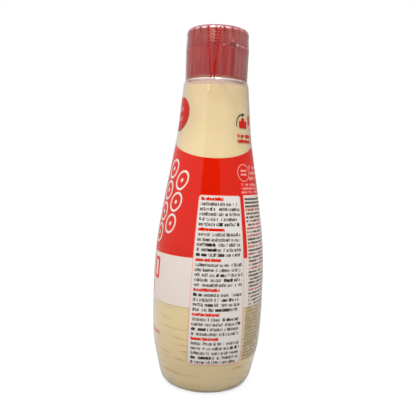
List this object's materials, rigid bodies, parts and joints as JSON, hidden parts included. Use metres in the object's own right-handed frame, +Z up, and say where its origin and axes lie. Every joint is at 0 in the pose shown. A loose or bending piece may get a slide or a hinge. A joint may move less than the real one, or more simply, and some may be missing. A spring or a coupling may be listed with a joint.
{
  "type": "mayonnaise squeeze bottle",
  "caption": "Clear squeeze bottle of mayonnaise with a shut fluted flip-top cap, sealed in a printed shrink sleeve.",
  "frame": {"origin": "centre of the foot ring on the surface that the bottle stands on", "axes": "+Z up along the bottle's axis, the printed front faces -Y, the cap's hinge is at +Y"},
  "size_m": [0.0632, 0.0632, 0.2],
  "materials": {
    "clear_pet": "clear glossy blow-moulded PET",
    "mayonnaise": "smooth pale yellow sauce, seen wet against the wall",
    "red_cap": "satin moulded polypropylene",
    "shrink_film": "glossy clear shrink film, printed in red and white"
  },
  "bodies": {
    "root": {"bottle": "clear_pet", "mayonnaise": "mayonnaise", "cap_base": "red_cap", "flip_lid": "red_cap", "sleeve": "shrink_film"}
  },
  "joints": []
}
